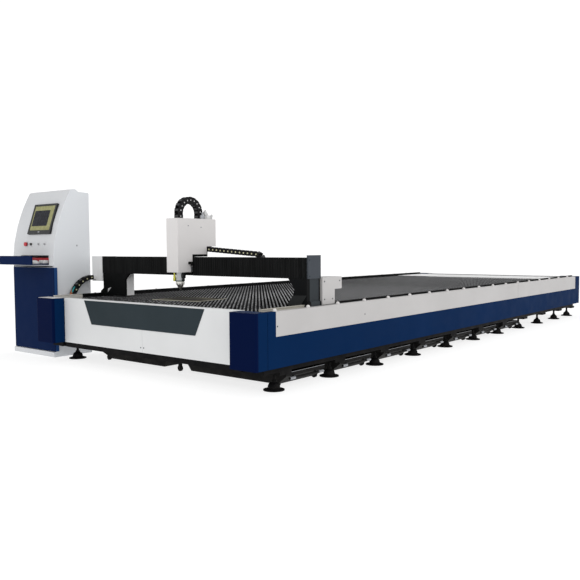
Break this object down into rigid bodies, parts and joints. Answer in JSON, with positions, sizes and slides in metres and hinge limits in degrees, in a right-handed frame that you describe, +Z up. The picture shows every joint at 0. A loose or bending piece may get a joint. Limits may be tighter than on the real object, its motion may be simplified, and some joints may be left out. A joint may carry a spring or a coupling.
{
  "type": "gantry laser cutting machine",
  "caption": "Long gantry laser cutting machine: slat bed on levelling feet, bridge on side rails with a lifting cutting head, scrap trolleys below, operator console beside it.",
  "frame": {"origin": "on the floor, under the middle of the whole outline (bed and console)", "axes": "+Z up, +X along the bed away from the loading end, +Y across the bed towards the console"},
  "size_m": [8.171, 3.89, 1.8],
  "materials": {
    "white_paint": "semi-gloss powder coat",
    "blue_paint": "semi-gloss powder coat",
    "dark_blue_paint": "semi-gloss powder coat",
    "console_grey": "satin powder coat",
    "black_paint": "satin paint",
    "slate_paint": "satin paint",
    "bare_steel": "mill finish",
    "trolley_paint": "worn satin paint",
    "bellows_fabric": "coated folding cloth",
    "black_plastic": "moulded",
    "cream_plastic": "moulded",
    "head_metal": "fine machined",
    "nozzle_metal": "fine machined",
    "brass_fitting": "satin",
    "red_plastic": "gloss",
    "black_button_plastic": "gloss",
    "grey_plastic": "gloss"
  },
  "bodies": {
    "bed": {"frame_beam_left": "black_paint", "frame_beam_right": "black_paint", "frame_crossbars": "black_paint", "leveling_feet_left": "black_paint", "leveling_feet_right": "black_paint", "slat_supports": "black_paint", "slats": "bare_steel", "rail_left": "bare_steel", "rail_right": "bare_steel", "side_upper_left": "white_paint", "side_upper_right": "white_paint", "side_lower_left": "blue_paint", "side_lower_right": "blue_paint", "post_front_left": "dark_blue_paint", "post_front_right": "dark_blue_paint", "post_rear_left": "dark_blue_paint", "post_rear_right": "dark_blue_paint", "front_panel_left": "white_paint", "front_panel_right": "white_paint", "rear_panel": "white_paint", "front_plate": "slate_paint", "edge_caps_left": "white_paint", "edge_caps_right": "white_paint", "x_chain_trough": "white_paint", "console_cabinet": "console_grey", "monitor": "black_plastic"},
    "gantry": {"gantry_beam": "black_paint", "gantry_leg_left": "black_paint", "gantry_leg_right": "black_paint", "gantry_cover_left": "white_paint", "gantry_cover_right": "slate_paint", "drive_cover_left": "white_paint", "drive_cover_right": "white_paint", "beam_rails": "bare_steel", "bellows_left": "bellows_fabric", "bellows_right": "bellows_fabric", "x_chain_loop": "black_plastic", "y_chain_trough": "black_paint"},
    "carriage": {"carriage_plate": "black_paint", "head_housing": "white_paint", "z_chain": "black_plastic", "y_chain_run": "black_plastic"},
    "cross_chain_bend": {"y_chain_bend": "black_plastic"},
    "head": {"cutting_head": "head_metal", "head_fitting": "brass_fitting", "nozzle": "nozzle_metal"},
    "tray": {"keyboard_tray": "blue_paint", "keyboard": "cream_plastic"},
    "door": {"console_door": "blue_paint"},
    "stop_button": {"emergency_stop": "red_plastic"},
    "start_button": {"start_button": "black_button_plastic"},
    "reset_button": {"reset_button": "grey_plastic"},
    "light_button": {"light_button": "grey_plastic"},
    "trolley_1": {"scrap_trolley_1": "trolley_paint"},
    "trolley_2": {"scrap_trolley_2": "trolley_paint"},
    "trolley_3": {"scrap_trolley_3": "trolley_paint"},
    "trolley_4": {"scrap_trolley_4": "trolley_paint"},
    "trolley_5": {"scrap_trolley_5": "trolley_paint"},
    "trolley_6": {"scrap_trolley_6": "trolley_paint"},
    "trolley_7": {"scrap_trolley_7": "trolley_paint"}
  },
  "joints": [
    {"name": "gantry_travel", "type": "slide", "parent": "bed", "child": "gantry", "axis": [1, 0, 0], "range_m": [-0.25, 6.35]},
    {"name": "carriage_travel", "type": "slide", "parent": "gantry", "child": "carriage", "axis": [0, 1, 0], "range_m": [-1.15, 1.15], "deforming": ["bellows_left", "bellows_right", "y_chain_run"]},
    {"name": "cross_chain_follow", "type": "slide", "parent": "carriage", "child": "cross_chain_bend", "axis": [0, 1, 0], "range_m": [-0.58, 0.58]},
    {"name": "head_lift", "type": "slide", "parent": "carriage", "child": "head", "axis": [0, 0, 1], "range_m": [-0.09, 0.12]},
    {"name": "keyboard_tray_slide", "type": "slide", "parent": "bed", "child": "tray", "axis": [1, 0, 0], "range_m": [-0.06, 0.19]},
    {"name": "console_door_hinge", "type": "hinge", "parent": "bed", "child": "door", "pos_m": [-3.8255, 1.917, 0.5], "axis": [0, 0, -1], "range_deg": [0, 105]},
    {"name": "stop_press", "type": "slide", "parent": "bed", "child": "stop_button", "axis": [1, 0, 0], "range_m": [0, 0.004], "stiffness_N_per_m": 800},
    {"name": "start_press", "type": "slide", "parent": "bed", "child": "start_button", "axis": [1, 0, 0], "range_m": [0, 0.004], "stiffness_N_per_m": 600},
    {"name": "reset_press", "type": "slide", "parent": "bed", "child": "reset_button", "axis": [1, 0, 0], "range_m": [0, 0.004], "stiffness_N_per_m": 600},
    {"name": "light_press", "type": "slide", "parent": "bed", "child": "light_button", "axis": [1, 0, 0], "range_m": [0, 0.004], "stiffness_N_per_m": 600},
    {"name": "trolley_1_pull", "type": "slide", "parent": "bed", "child": "trolley_1", "axis": [0, 1, 0], "range_m": [-1.3, 0]},
    {"name": "trolley_2_pull", "type": "slide", "parent": "bed", "child": "trolley_2", "axis": [0, 1, 0], "range_m": [-1.3, 0]},
    {"name": "trolley_3_pull", "type": "slide", "parent": "bed", "child": "trolley_3", "axis": [0, 1, 0], "range_m": [-1.3, 0]},
    {"name": "trolley_4_pull", "type": "slide", "parent": "bed", "child": "trolley_4", "axis": [0, 1, 0], "range_m": [-1.3, 0]},
    {"name": "trolley_5_pull", "type": "slide", "parent": "bed", "child": "trolley_5", "axis": [0, 1, 0], "range_m": [-1.3, 0]},
    {"name": "trolley_6_pull", "type": "slide", "parent": "bed", "child": "trolley_6", "axis": [0, 1, 0], "range_m": [-1.3, 0]},
    {"name": "trolley_7_pull", "type": "slide", "parent": "bed", "child": "trolley_7", "axis": [0, 1, 0], "range_m": [-1.3, 0]}
  ],
  "couplings": [
    {"joint": "cross_chain_follow", "follows": "carriage_travel", "ratio": -0.5}
  ]
}
